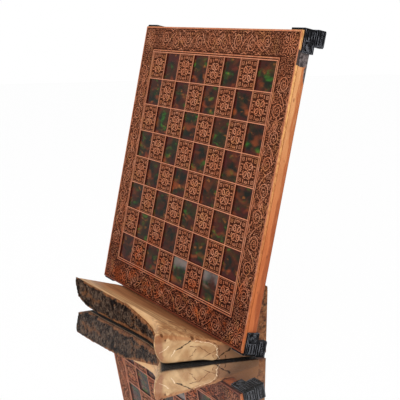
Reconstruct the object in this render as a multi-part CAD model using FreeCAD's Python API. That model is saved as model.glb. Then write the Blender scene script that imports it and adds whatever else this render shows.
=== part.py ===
import FreeCAD, Part
import math
import os
from FreeCAD import Vector

# Enamel chessboard leaning in its olive wood display stand.
# Millimetres. The board is drawn lying flat: X across, Y from its bottom edge to its top edge,
# Z = 0 on its face. It is then leaned back and set in the notch of the stand.
# In the finished model +X is the board's right, -Y is the way it faces and +Z is up.

# Board: squares, border and thicknesses
SQUARE = 50.0
SQUARES_PER_SIDE = 8
BORDER = 48.0
PANEL_THICKNESS = 4.0
RAIL_HEIGHT = 18.0
RAIL_WIDTH = 22.0
PANEL_EDGE_BEVEL = 0.6

# Engraved top panel: raised lines and sunk fields
WINDOW_LINE = 2.2
FIELD_DEPTH = 0.9
OUTER_BAND = 3.0
FRAME_LINE = 2.0
FRAME_GROOVE = 1.6

# Enamel tiles
TILE_RECESS = 2.4
TILE_THICKNESS = 3.2
TILE_CLEARANCE = 0.25

# Rails, core and underside panel
SHADOW_GROOVE_DEPTH = 1.2
SHADOW_GROOVE_HEIGHT = 1.0
RAIL_ROUND = 2.0
UNDERSIDE_THICKNESS = 3.0
UNDERSIDE_REBATE = 8.0
UNDERSIDE_CLEARANCE = 0.2
SPLINE_LENGTH = 14.0
SPLINE_WIDTH = 12.0
SPLINE_THICKNESS = 3.0
SPLINE_CLEARANCE = 0.1

# Cast corner feet
FOOT_WING = 37.0
FOOT_WALL = 4.0
FOOT_FLOOR = 3.0
FOOT_PANEL_GAP = 0.4
FOOT_CORNER_ROUND = 4.0
FOOT_FLOOR_CUT = 24.0
FOOT_BORDER = 2.4
FOOT_FACE_SINK = 0.9
LEG_SIDE = 26.5
LEG_WALL = 10.0
LEG_HEIGHT = 17.0
LEG_PROUD = 1.5
LEG_CORNER_ROUND = 2.5
LEG_EDGE_BEVEL = 1.6
LEG_FOOT_BEVEL = 1.1
LEG_BEAD = 3.0
LEG_BEAD_INSET = 1.0
LEG_SINK = 0.7
LEG_BORDER = 3.0
KEY_COUNT = 4
KEY_SIDE = 3.4
ROSETTE_FROM_END = 9.4
ROSETTE_RADIUS = 6.6
ROSETTE_RING = 1.2
ROSETTE_GAP = 0.9
ROSETTE_BOSS = 1.5
ROSETTE_FROM_BORDER = 0.3
ROSETTE_SIDES = 12
ROSETTE_BOSS_SIDES = 6
FLUTE_COUNT = 3
FLUTE_RADIUS = 1.7
FLUTE_GAP = 1.2
FLUTE_SIDES = 12

# Countersunk screws that hold the feet
FOOT_SCREW_RADIUS = 1.4
FOOT_SCREW_HEAD_RADIUS = 2.8
FOOT_SCREW_HEAD_HEIGHT = 1.4
FOOT_SCREW_LENGTH = 14.0
FOOT_SCREW_FROM_SIDE = 5.5
FOOT_SCREW_FROM_END = 4.6
SCREW_CLEARANCE = 0.05
SCREW_SIDES = 8

# How the board stands
LEAN_DEG = 11.25
BOARD_LIFT = 33.5
REST_GAP = 0.3

# Stand: olive wood base with a live front edge
PAD_THICKNESS = 3.0
PAD_RADIUS = 6.0
PAD_SIDES = 16
STAND_LENGTH = 366.0
STAND_SHIFT = 7.0
END_SKEW = 0.225
BASE_REAR = 65.0
SHOULDER_HEIGHT = 43.0
SHOULDER_DROP = 25.0
TIP_LIFT = 12.0
TIP_LIFT_LENGTH = 36.0
FRONT_REFERENCE_HEIGHT = 56.0
BARK_BOTTOM = 4.0
BARK_SEAT = 1.0
LOFT_FOOT = 0.5
LOFT_HEAD = 74.0

# Sawn top of the base: places before (-) and behind the board's bottom edge with their heights,
# at the left end and at the right end, where it crowns a little.
TOP_LEFT = [(-140.0, 70.2), (-81.0, 53.6), (-37.5, 41.3), (2.0, 30.6), (14.0, 27.0)]
TOP_RIGHT = [(-140.0, 64.0), (-108.0, 57.0), (-55.0, 49.0), (-20.0, 41.0), (2.0, 33.0), (14.0, 28.0)]
TOP_SPAN = 250.0

# Front of the base, left to right: place along X, setback of the wood at its crest and at its
# foot, how far it bellies out between them, bark thickness and the height that bark reaches.
FRONT_STATIONS = [
    (-222.0, 80.0, 68.0, 3.0, 5.5, 74.0),
    (-172.0, 78.5, 70.0, 3.0, 5.5, 74.0),
    (-114.0, 75.0, 68.0, 3.0, 5.5, 72.0),
    (-53.0, 70.0, 62.5, 3.0, 5.0, 62.0),
    (-1.0, 64.5, 58.0, 3.0, 4.6, 48.0),
    (49.0, 60.5, 56.0, 2.5, 4.2, 38.0),
    (76.0, 60.5, 57.5, 3.0, 3.6, 32.0),
    (100.0, 66.0, 62.0, 4.0, 2.8, 24.0),
    (124.0, 77.0, 71.0, 6.0, 1.6, 15.0),
    (149.0, 95.0, 82.0, 9.0, 0.0, 0.0),
    (174.0, 110.0, 92.0, 11.0, 0.0, 0.0),
    (204.0, 118.0, 98.0, 12.0, 0.0, 0.0),
]

# Back rest: a plank with its live edge upwards, screwed behind the base
REST_THICKNESS = 14.0
REST_BOTTOM = 5.0
REST_END_INSET = 2.0
REST_BARK = 7.0
REST_ROUND = 4.0
REST_STOCK_TOP = 140.0
REST_CREST = [
    (-230.0, 92.0),
    (-150.0, 103.0),
    (-70.0, 97.0),
    (20.0, 106.0),
    (110.0, 101.0),
    (170.0, 108.0),
    (230.0, 110.0),
]
STAND_SCREW_SPACING = 120.0
STAND_SCREW_HEIGHT = 12.0
STAND_SCREW_RADIUS = 2.2
STAND_SCREW_HEAD_RADIUS = 4.2
STAND_SCREW_HEAD_HEIGHT = 2.4
STAND_SCREW_LENGTH = 45.0
FRONT_PAD_SPACING = 290.0
FRONT_PAD_BACK = 45.0
REAR_PAD_SPACING = 300.0

# Sizes that follow from the ones above
FIELD = SQUARE * SQUARES_PER_SIDE
BOARD = FIELD + 2 * BORDER
HALF_BOARD = BOARD / 2
BOARD_THICKNESS = PANEL_THICKNESS + RAIL_HEIGHT
WINDOW = SQUARE - WINDOW_LINE
TILE = WINDOW - 2 * TILE_CLEARANCE
TILE_BOTTOM = TILE_RECESS + TILE_THICKNESS
CORE = BOARD - 2 * RAIL_WIDTH
CORE_THICKNESS = RAIL_HEIGHT - UNDERSIDE_THICKNESS
FOOT_TOP = PANEL_THICKNESS + FOOT_PANEL_GAP
FOOT_BACK = BOARD_THICKNESS + FOOT_FLOOR
WING_INNER = FOOT_WING - FOOT_WALL
LEG_OUTER = FOOT_WALL + LEG_PROUD
LEG_BACK = FOOT_BACK + LEG_HEIGHT
LEAN = math.radians(LEAN_DEG)
SIN_LEAN = math.sin(LEAN)
COS_LEAN = math.cos(LEAN)
NOTCH_DEPTH = BOARD_THICKNESS + REST_GAP
REST_LIP = NOTCH_DEPTH / 2
REST_BACK = BASE_REAR + REST_THICKNESS
LEFT_END = STAND_SHIFT - STAND_LENGTH / 2
RIGHT_END = STAND_SHIFT + STAND_LENGTH / 2

# Big enough to cut across the whole stand
REACH = 700.0


def box(x0, y0, z0, x1, y1, z1):
    return Part.makeBox(x1 - x0, y1 - y0, z1 - z0, Vector(x0, y0, z0))


def flat_face(corners):
    return Part.Face(Part.makePolygon(corners + [corners[0]]))


def prism_along_x(profile_wire, x0, x1):
    """Solid between x0 and x1 from a closed wire drawn in the plane X = 0."""
    face = Part.Face(profile_wire)
    solid = face.extrude(Vector(x1 - x0, 0, 0))
    solid.translate(Vector(x0, 0, 0))
    return solid


def polygon_yz(points):
    corners = [Vector(0, y, z) for y, z in points]
    return Part.makePolygon(corners + [corners[0]])


def polygon_prism(points, z0, z1):
    """Solid between z0 and z1 from an outline drawn in plan."""
    return flat_face([Vector(x, y, z0) for x, y in points]).extrude(Vector(0, 0, z1 - z0))


def small_turning(steps, sides):
    """Small round solid about the Z axis through (radius, height) steps, with a few flat sides."""
    turns = [2 * math.pi * i / sides for i in range(sides)]
    rings = [[Vector(r * math.cos(a), r * math.sin(a), z) for a in turns] for r, z in steps]
    faces = [flat_face(rings[0]), flat_face(rings[-1])]
    for low, high in zip(rings, rings[1:]):
        for i in range(sides):
            faces.append(flat_face([low[i - 1], low[i], high[i], high[i - 1]]))
    return Part.Solid(Part.Shell(faces))


def small_disc(radius, sides, height):
    return small_turning([(radius, 0), (radius, height)], sides)


def square_ring(half_outer, half_inner, depth, middle):
    """Tool that sinks a square ring from the face down to depth."""
    outer = box(-half_outer, middle - half_outer, -depth, half_outer, middle + half_outer, 1)
    inner = box(-half_inner, middle - half_inner, -depth - 1, half_inner, middle + half_inner, 2)
    return outer.cut(inner)


def square_middle(column, row):
    x = (column + 0.5) * SQUARE - FIELD / 2
    y = BORDER + (row + 0.5) * SQUARE
    return x, y


def is_dark(column, row):
    return (column + row) % 2 == 0


def square_tool(column, row, side, z0, z1):
    x, y = square_middle(column, row)
    return box(x - side / 2, y - side / 2, z0, x + side / 2, y + side / 2, z1)


def all_squares():
    return [(column, row) for row in range(SQUARES_PER_SIDE) for column in range(SQUARES_PER_SIDE)]


def engraved_top_panel():
    """Panel with a window over each tile, sunk light squares and a sunk border."""
    panel = box(-HALF_BOARD, 0, -PANEL_THICKNESS, HALF_BOARD, BOARD, 0)
    rim = [e for e in panel.Edges if e.BoundBox.ZMin > -0.01]
    panel = panel.makeChamfer(PANEL_EDGE_BEVEL, rim)
    frame_inner = FIELD / 2 + WINDOW_LINE / 2
    groove_outer = frame_inner + FRAME_GROOVE
    frame_outer = groove_outer + FRAME_LINE
    tools = [
        square_ring(groove_outer, frame_inner, FIELD_DEPTH, HALF_BOARD),
        square_ring(HALF_BOARD - OUTER_BAND, frame_outer, FIELD_DEPTH, HALF_BOARD),
    ]
    for column, row in all_squares():
        if is_dark(column, row):
            tools.append(square_tool(column, row, WINDOW, -PANEL_THICKNESS - 1, 1))
        else:
            tools.append(square_tool(column, row, WINDOW, -FIELD_DEPTH, 1))
    return panel.cut(tools)


def enamel_tile(column, row):
    return square_tool(column, row, TILE, -TILE_BOTTOM, -TILE_RECESS)


def core_panel():
    """Core that carries the tiles in shallow pockets."""
    core_top = -PANEL_THICKNESS
    core_bottom = core_top - CORE_THICKNESS
    core = box(-CORE / 2, RAIL_WIDTH, core_bottom, CORE / 2, RAIL_WIDTH + CORE, core_top)
    pockets = [square_tool(c, r, WINDOW, -TILE_BOTTOM, 0) for c, r in all_squares() if is_dark(c, r)]
    return core.cut(pockets)


def rail_profile():
    """Rail section in the plane X = 0: outer face on Y = 0, inner face on Y = RAIL_WIDTH."""
    top = -PANEL_THICKNESS
    bottom = -BOARD_THICKNESS
    groove_floor = top - SHADOW_GROOVE_HEIGHT
    rebate_roof = bottom + UNDERSIDE_THICKNESS
    rebate_wall = RAIL_WIDTH - UNDERSIDE_REBATE
    round_middle = RAIL_ROUND * (1 - math.sqrt(0.5))
    points = [
        (RAIL_ROUND, bottom),
        (rebate_wall, bottom),
        (rebate_wall, rebate_roof),
        (RAIL_WIDTH, rebate_roof),
        (RAIL_WIDTH, top),
        (SHADOW_GROOVE_DEPTH, top),
        (SHADOW_GROOVE_DEPTH, groove_floor),
        (0, groove_floor),
        (0, bottom + RAIL_ROUND),
    ]
    corners = [Vector(0, y, z) for y, z in points]
    edges = [Part.makeLine(corners[i], corners[i + 1]) for i in range(len(corners) - 1)]
    arc_middle = Vector(0, round_middle, bottom + round_middle)
    edges.append(Part.Arc(corners[-1], arc_middle, corners[0]).toShape())
    return Part.Wire(edges)


def turned(shape, quarter_turns):
    """Copy turned about the middle of the board by quarter turns."""
    copy = shape.copy()
    copy.rotate(Vector(0, HALF_BOARD, 0), Vector(0, 0, 1), 90 * quarter_turns)
    return copy


def spline_tool(clearance):
    """Loose tongue across the mitre at the bottom left corner of the board."""
    half_length = SPLINE_LENGTH / 2 + clearance
    half_width = SPLINE_WIDTH / 2 + clearance
    half_thickness = SPLINE_THICKNESS / 2 + clearance
    tongue = box(-half_length, -half_width, -half_thickness, half_length, half_width, half_thickness)
    tongue.rotate(Vector(0, 0, 0), Vector(0, 0, 1), -45)
    height = -PANEL_THICKNESS - RAIL_HEIGHT / 2
    tongue.translate(Vector(-HALF_BOARD + RAIL_WIDTH / 2, RAIL_WIDTH / 2, height))
    return tongue


def foot_screw_places():
    """Screw centres of one foot, measured from the corner of the board."""
    along = WING_INNER - FOOT_SCREW_FROM_END
    return [(-along, -FOOT_SCREW_FROM_SIDE), (-FOOT_SCREW_FROM_SIDE, -along)]


def foot_screw(clearance):
    """Screw that points into the board, head flush with the back of the foot's floor."""
    radius = FOOT_SCREW_RADIUS + clearance
    head_radius = FOOT_SCREW_HEAD_RADIUS + clearance
    head_end = -FOOT_BACK + FOOT_SCREW_HEAD_HEIGHT
    tip = -FOOT_BACK + FOOT_SCREW_LENGTH
    steps = [(head_radius, -FOOT_BACK), (radius, head_end), (radius, tip)]
    return small_turning(steps, SCREW_SIDES)


def screws_of_corner(clearance):
    """Screws of the foot at the top right corner of the board."""
    screws = []
    for x, y in foot_screw_places():
        screw = foot_screw(clearance)
        screw.translate(Vector(HALF_BOARD + x, BOARD + y, 0))
        screws.append(screw)
    return screws


def frame_rail(quarter_turns):
    """Mitred rail: 0 is the bottom one, and the others go round anticlockwise."""
    stock = prism_along_x(rail_profile(), -HALF_BOARD, HALF_BOARD)
    inner = HALF_BOARD - RAIL_WIDTH
    plan = [(-HALF_BOARD, 0), (HALF_BOARD, 0), (inner, RAIL_WIDTH), (-inner, RAIL_WIDTH)]
    rail = stock.common(polygon_prism(plan, -BOARD_THICKNESS - 1, 1))
    slot = spline_tool(SPLINE_CLEARANCE)
    screw_holes = screws_of_corner(SCREW_CLEARANCE)
    tools = [slot, turned(slot, 1)]
    for turns in (2, 3):
        tools += [turned(hole, turns) for hole in screw_holes]
    return turned(rail.cut(tools), quarter_turns)


def underside_panel():
    """Thin panel let into the rebates of the rails on the board's underside."""
    half = HALF_BOARD - RAIL_WIDTH + UNDERSIDE_REBATE - UNDERSIDE_CLEARANCE
    top = -BOARD_THICKNESS + UNDERSIDE_THICKNESS
    return box(-half, HALF_BOARD - half, -BOARD_THICKNESS, half, HALF_BOARD + half, top)


def rosette_ring(outer):
    """Ring at the origin, as high as the wing's face is sunk."""
    disc = small_disc(outer, ROSETTE_SIDES, FOOT_FACE_SINK)
    return disc.cut(small_disc(outer - ROSETTE_RING, ROSETTE_SIDES, FOOT_FACE_SINK))


def wing_decor():
    """Rosette and flutes on the wing that runs along X, as (tools to cut, solids to add)."""
    face = FOOT_WALL
    floor = face - FOOT_FACE_SINK
    low = -FOOT_BACK + FOOT_BORDER
    high = -FOOT_TOP - FOOT_BORDER
    left = -WING_INNER + FOOT_BORDER
    corner_edge = FOOT_WALL - FOOT_CORNER_ROUND
    cuts = [box(left, floor, low, corner_edge, face + 1, high)]
    rosette_x = -WING_INNER + ROSETTE_FROM_END
    rosette_z = low + ROSETTE_RADIUS + ROSETTE_FROM_BORDER
    adds = [
        rosette_ring(ROSETTE_RADIUS),
        rosette_ring(ROSETTE_RADIUS - ROSETTE_RING - ROSETTE_GAP),
        small_disc(ROSETTE_BOSS, ROSETTE_BOSS_SIDES, FOOT_FACE_SINK),
    ]
    for part in adds:
        part.rotate(Vector(0, 0, 0), Vector(1, 0, 0), -90)
        part.translate(Vector(rosette_x, floor, rosette_z))
    band_left = rosette_x + ROSETTE_RADIUS + FLUTE_GAP
    rib_field = box(band_left, floor, low, corner_edge, face, high)
    pitch = (high - low) / FLUTE_COUNT
    flute_left = band_left + FLUTE_GAP
    length = corner_edge - flute_left + 1
    flutes = []
    for i in range(FLUTE_COUNT):
        flute = small_disc(FLUTE_RADIUS, FLUTE_SIDES, length)
        flute.rotate(Vector(0, 0, 0), Vector(0, 1, 0), 90)
        flute.translate(Vector(flute_left, face, low + (i + 0.5) * pitch))
        flutes.append(flute)
    adds.append(rib_field.cut(flutes))
    return cuts, adds


def leg_decor():
    """Sunk panel with a row of small blocks on the leg's outer face."""
    face = LEG_OUTER
    floor = face - LEG_SINK
    low = -LEG_BACK + LEG_BORDER
    high = -FOOT_BACK - LEG_BEAD - LEG_BORDER / 2
    left = LEG_OUTER - LEG_SIDE + LEG_BORDER
    right = LEG_OUTER - LEG_CORNER_ROUND
    cut = box(left, floor, low, right, face + 1, high)
    pitch = (right - left) / KEY_COUNT
    middle = (low + high) / 2
    keys = []
    for i in range(KEY_COUNT):
        x = left + (i + 0.5) * pitch
        keys.append(box(x - KEY_SIDE / 2, floor, middle - KEY_SIDE / 2,
                        x + KEY_SIDE / 2, face, middle + KEY_SIDE / 2))
    return [cut], keys


def mirrored_across_diagonal(shape):
    return shape.mirror(Vector(0, 0, 0), Vector(1, -1, 0))


def upright_edge(solid, x, y):
    """The straight upright edge of a solid at the given place."""
    found = []
    for edge in solid.Edges:
        b = edge.BoundBox
        upright = b.ZLength > 1 and b.XLength < 0.01 and b.YLength < 0.01
        if upright and abs(b.XMin - x) < 0.01 and abs(b.YMin - y) < 0.01:
            found.append(edge)
    return found


def corner_foot():
    """Cast foot for the corner of the board at the origin, with the board in X < 0, Y < 0."""
    block = box(-WING_INNER, -WING_INNER, -FOOT_BACK, FOOT_WALL, FOOT_WALL, -FOOT_TOP)
    block = block.makeFillet(FOOT_CORNER_ROUND, upright_edge(block, FOOT_WALL, FOOT_WALL))
    room = box(-WING_INNER - 1, -WING_INNER - 1, -BOARD_THICKNESS, 0, 0, 0)
    floor_cut = Part.makeCylinder(FOOT_FLOOR_CUT, FOOT_FLOOR + 2,
                                  Vector(-WING_INNER, -WING_INNER, -FOOT_BACK - 1))
    foot = block.cut([room, floor_cut])
    for mirror in (False, True):
        cuts, adds = wing_decor()
        if mirror:
            cuts = [mirrored_across_diagonal(s) for s in cuts]
            adds = [mirrored_across_diagonal(s) for s in adds]
        foot = foot.cut(cuts).fuse(adds)
    foot = foot.fuse([leg_bead(), leg_block()])
    holes = []
    for x, y in foot_screw_places():
        hole = foot_screw(SCREW_CLEARANCE)
        hole.translate(Vector(x, y, 0))
        holes.append(hole)
    return foot.cut(holes).removeSplitter()


def leg_hollow():
    """Tool that leaves the leg as an angle with two walls, open towards the board's middle."""
    inner = LEG_OUTER - LEG_SIDE
    wall_inside = LEG_OUTER - LEG_WALL
    return box(inner - 1, inner - 1, -LEG_BACK - 1, wall_inside, wall_inside, -FOOT_BACK)


def leg_bead():
    """Narrow neck between the foot's floor and its leg."""
    outer = LEG_OUTER - LEG_BEAD_INSET
    inner = LEG_OUTER - LEG_SIDE + LEG_BEAD_INSET
    neck = box(inner, inner, -FOOT_BACK - LEG_BEAD, outer, outer, -FOOT_BACK)
    neck = neck.makeFillet(LEG_CORNER_ROUND, upright_edge(neck, outer, outer))
    return neck.cut(leg_hollow())


def leg_block():
    """Angle-shaped leg with bevelled edges and a row of small blocks on its two outer faces."""
    inner = LEG_OUTER - LEG_SIDE
    leg = box(inner, inner, -LEG_BACK, LEG_OUTER, LEG_OUTER, -FOOT_BACK - LEG_BEAD)
    leg = leg.makeFillet(LEG_CORNER_ROUND, upright_edge(leg, LEG_OUTER, LEG_OUTER))
    for x, y in ((inner, LEG_OUTER), (LEG_OUTER, inner)):
        leg = leg.makeChamfer(LEG_EDGE_BEVEL, upright_edge(leg, x, y))
    leg = leg.cut(leg_hollow())
    bottom_rim = [e for e in leg.Edges if e.BoundBox.ZMax < -LEG_BACK + 0.01]
    leg = leg.makeChamfer(LEG_FOOT_BEVEL, bottom_rim)
    for mirror in (False, True):
        cuts, keys = leg_decor()
        if mirror:
            cuts = [mirrored_across_diagonal(s) for s in cuts]
            keys = [mirrored_across_diagonal(s) for s in keys]
        leg = leg.cut(cuts).fuse(keys)
    return leg


def foot_on_board(quarter_turns):
    """Foot on a corner of the board: 0 is the top right one, then round anticlockwise."""
    foot = corner_foot_master.copy()
    foot.translate(Vector(HALF_BOARD, BOARD, 0))
    return turned(foot, quarter_turns)


def stood_up(shape):
    """Lean a flat piece of the board back and set it in the notch of the stand."""
    copy = shape.copy()
    copy.rotate(Vector(0, 0, 0), Vector(1, 0, 0), 90 - LEAN_DEG)
    copy.translate(Vector(0, 0, BOARD_LIFT))
    return copy


def board_point(v, w):
    """(Y, Z) of a place on the standing board: v up its face, w behind its face."""
    y = v * SIN_LEAN + w * COS_LEAN
    z = BOARD_LIFT + v * COS_LEAN - w * SIN_LEAN
    return y, z


def front_setback(station, z):
    """How far the wood's front lies before the board's bottom edge at height z."""
    crest, foot, belly = station[1:4]
    t = z / FRONT_REFERENCE_HEIGHT
    return foot + (crest - foot) * t + 4 * belly * t * (1 - t)


def front_curve(station, z0, z1, extra):
    """Curve of the front between two heights, moved forward by extra."""
    x = station[0]
    middle = (z0 + z1) / 2
    low = Vector(x, -front_setback(station, z0) - extra, z0)
    high = Vector(x, -front_setback(station, z1) - extra, z1)
    through = -front_setback(station, middle) - extra
    pull = Vector(x, 2 * through - (low.y + high.y) / 2, middle)
    curve = Part.BezierCurve()
    curve.setPoles([low, pull, high])
    return curve.toShape(), low, high


def front_stock_section(station):
    """Section of the base before the board's bottom edge."""
    front, low, high = front_curve(station, LOFT_FOOT, LOFT_HEAD, 0)
    x = station[0]
    rear_high = Vector(x, 0, LOFT_HEAD)
    rear_low = Vector(x, 0, LOFT_FOOT)
    edges = [
        front,
        Part.makeLine(high, rear_high),
        Part.makeLine(rear_high, rear_low),
        Part.makeLine(rear_low, low),
    ]
    return Part.Wire(edges)


def bark_section(station):
    """Section of the bark skin, sunk a little into the wood that is cut away from it."""
    bark = station[4]
    top = station[5]
    inner, inner_low, inner_high = front_curve(station, BARK_BOTTOM, top, -BARK_SEAT)
    outer, outer_low, outer_high = front_curve(station, BARK_BOTTOM, top, bark)
    edges = [
        inner,
        Part.makeLine(inner_high, outer_high),
        outer,
        Part.makeLine(outer_low, inner_low),
    ]
    return Part.Wire(Part.__sortEdges__(edges))


def end_cutter(x_at_zero, side):
    """Everything beyond a skewed end of the stand; side is -1 for the left, 1 for the right."""
    far = side * REACH
    points = [
        (x_at_zero - END_SKEW * REACH, -REACH),
        (x_at_zero + END_SKEW * REACH, REACH),
        (far + x_at_zero, REACH),
        (far + x_at_zero, -REACH),
    ]
    return polygon_prism(points, -REACH, REACH)


def top_section(x, places):
    """Section above the sawn top, bounded below by a curve through the given places."""
    points = [Vector(x, y, z) for y, z in places]
    curve = Part.BSplineCurve()
    curve.interpolate(points)
    rear_high = Vector(x, points[-1].y, REACH)
    front_high = Vector(x, points[0].y, REACH)
    edges = [
        curve.toShape(),
        Part.makeLine(points[-1], rear_high),
        Part.makeLine(rear_high, front_high),
        Part.makeLine(front_high, points[0]),
    ]
    return Part.Wire(edges)


def above_base_top():
    """Everything above the sawn top of the base, as far back as the lip under the board."""
    sections = [top_section(-TOP_SPAN, TOP_LEFT), top_section(TOP_SPAN, TOP_RIGHT)]
    return Part.makeLoft(sections, True, True)


def notch():
    """Room for the board: square to it below, with a small gap behind it."""
    heel = board_point(0, 0)
    points = [heel, board_point(0, NOTCH_DEPTH), board_point(BOARD, NOTCH_DEPTH), (heel[0], BOARD)]
    return prism_along_x(polygon_yz(points), -REACH, REACH)


def rear_contour():
    """Edges of the base's shoulder behind the notch, from its front to the base's rear face."""
    low_y = BASE_REAR
    low_z = PAD_THICKNESS + SHOULDER_HEIGHT - SHOULDER_DROP
    high_y = BASE_REAR - SHOULDER_DROP
    high_z = PAD_THICKNESS + SHOULDER_HEIGHT
    bend = SHOULDER_DROP * (1 - math.sqrt(0.5))
    arc = Part.Arc(Vector(0, high_y, high_z), Vector(0, low_y - bend, high_z - bend),
                   Vector(0, low_y, low_z))
    return arc.toShape(), Vector(0, high_y, high_z), Vector(0, low_y, low_z)


def rear_block():
    """Part of the base behind the board's face, before the notch is cut."""
    arc, arc_high, arc_low = rear_contour()
    front_bottom = Vector(0, 0, PAD_THICKNESS)
    front_top = Vector(0, 0, arc_high.z)
    rear_bottom = Vector(0, BASE_REAR, PAD_THICKNESS)
    edges = [
        Part.makeLine(front_bottom, front_top),
        Part.makeLine(front_top, arc_high),
        arc,
        Part.makeLine(arc_low, rear_bottom),
        Part.makeLine(rear_bottom, front_bottom),
    ]
    return prism_along_x(Part.Wire(edges), -REACH, REACH)


def below_tip():
    """Rounded-off corner under the left end of the front, where the log tapers up."""
    x_end = LEFT_END - END_SKEW * front_setback(FRONT_STATIONS[1], 0)
    outline = [
        Vector(x_end - TIP_LIFT_LENGTH, 0, 0),
        Vector(x_end + TIP_LIFT_LENGTH, 0, 0),
        Vector(x_end + TIP_LIFT_LENGTH, 0, PAD_THICKNESS),
        Vector(x_end, 0, PAD_THICKNESS + TIP_LIFT),
        Vector(x_end - TIP_LIFT_LENGTH, 0, PAD_THICKNESS + 3 * TIP_LIFT),
    ]
    return flat_face(outline).extrude(Vector(0, -REACH, 0))


def stand_screw(clearance):
    """Screw through the back rest into the base, pointing forwards along -Y."""
    radius = STAND_SCREW_RADIUS + clearance
    head_radius = STAND_SCREW_HEAD_RADIUS + clearance
    steps = [(head_radius, 0), (radius, STAND_SCREW_HEAD_HEIGHT), (radius, STAND_SCREW_LENGTH)]
    screw = small_turning(steps, SCREW_SIDES)
    screw.rotate(Vector(0, 0, 0), Vector(1, 0, 0), 90)
    return screw


def stand_screws(clearance):
    screws = []
    for i in (-1, 0, 1):
        screw = stand_screw(clearance)
        screw.translate(Vector(STAND_SHIFT + i * STAND_SCREW_SPACING, REST_BACK, STAND_SCREW_HEIGHT))
        screws.append(screw)
    return screws


def stand_ends(inset):
    return [end_cutter(LEFT_END + inset, -1), end_cutter(RIGHT_END - inset, 1)]


def stand_base():
    """Live-edge base: lofted front, sawn top, notch for the board and a rounded shoulder."""
    sections = [front_stock_section(s) for s in FRONT_STATIONS]
    front = Part.makeLoft(sections, True, True)
    front = front.cut([below_tip(), box(-REACH, -REACH, -REACH, REACH, REACH, PAD_THICKNESS)])
    base = front.fuse(rear_block()).cut([notch()] + stand_ends(0))
    front_room = box(-REACH, -REACH, PAD_THICKNESS, REACH, REST_LIP, REACH)
    base = base.cut(above_base_top().common(front_room))
    return base.cut(stand_screws(SCREW_CLEARANCE)).removeSplitter()


def base_bark(base):
    """Bark skin left on the front of the base."""
    sections = [bark_section(s) for s in FRONT_STATIONS if s[4] > 0]
    bark = Part.makeLoft(sections, True, True)
    bark = bark.cut([above_base_top(), below_tip(), base] + stand_ends(0))
    return bark


def rest_profile():
    """Section of the back rest: upright at the back, along the board's back in front."""
    top_height = (REST_STOCK_TOP - BOARD_LIFT + NOTCH_DEPTH * SIN_LEAN) / COS_LEAN
    top_front = board_point(top_height, NOTCH_DEPTH)
    low_front = board_point(0, NOTCH_DEPTH)
    points = [
        low_front,
        (BASE_REAR, low_front[1]),
        (BASE_REAR, REST_BOTTOM),
        (REST_BACK, REST_BOTTOM),
        (REST_BACK, REST_STOCK_TOP),
        top_front,
    ]
    return polygon_yz(points)


def above_crest(offset):
    """Everything above the wavy crest of the back rest, moved up by offset."""
    crest = Part.BSplineCurve()
    points = [Vector(x, 0, z + offset) for x, z in REST_CREST]
    crest.interpolate(points)
    high_right = Vector(points[-1].x, 0, REACH)
    high_left = Vector(points[0].x, 0, REACH)
    edges = [
        crest.toShape(),
        Part.makeLine(points[-1], high_right),
        Part.makeLine(high_right, high_left),
        Part.makeLine(high_left, points[0]),
    ]
    face = Part.Face(Part.Wire(edges))
    face.translate(Vector(0, -REACH / 2, 0))
    return face.extrude(Vector(0, REACH, 0))


def back_rest_stock(base):
    """Back rest before its upper edge is shaped, with its rear and lower edges rounded."""
    stock = prism_along_x(rest_profile(), -REACH / 3, REACH / 3).cut(stand_ends(REST_END_INSET))
    rounded = []
    for edge in stock.Edges:
        b = edge.BoundBox
        at_rear = b.YMin > REST_BACK - 0.01
        rear_upright = at_rear and b.ZLength > 1
        bottom_end = b.ZMax < REST_BOTTOM + 0.01 and b.YLength > 1
        if rear_upright or bottom_end:
            rounded.append(edge)
    return stock.makeFillet(REST_ROUND, rounded).cut(base)


def back_rest(base):
    rest = back_rest_stock(base).cut([above_crest(0)] + stand_screws(SCREW_CLEARANCE))
    return largest_solid(rest)


def back_rest_bark(base):
    """Bark left along the upper edge of the back rest."""
    stock = back_rest_stock(base).cut(above_crest(REST_BARK))
    crest_part = stock.common(above_crest(0))
    return largest_solid(crest_part)


def largest_solid(shape):
    return sorted(shape.Solids, key=lambda s: s.Volume)[-1]


def stand_pads():
    """Felt discs: two under the front of the base and two under the back rest."""
    rear_y = BASE_REAR + REST_THICKNESS / 2
    pads = []
    for side in (-1, 1):
        front = small_disc(PAD_RADIUS, PAD_SIDES, PAD_THICKNESS)
        front.translate(Vector(STAND_SHIFT + side * FRONT_PAD_SPACING / 2, -FRONT_PAD_BACK, 0))
        rear = small_disc(PAD_RADIUS, PAD_SIDES, REST_BOTTOM)
        rear.translate(Vector(STAND_SHIFT + side * REAR_PAD_SPACING / 2, rear_y, 0))
        pads += [front, rear]
    return pads


def centre_shift(nodes):
    """Brings the middle of the model's depth to Y = 0."""
    solids = [solid for pieces in nodes.values() for solid in pieces]
    bounds = Part.makeCompound(solids).optimalBoundingBox(False, False)
    return Vector(0, -(bounds.YMin + bounds.YMax) / 2, 0)


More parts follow.
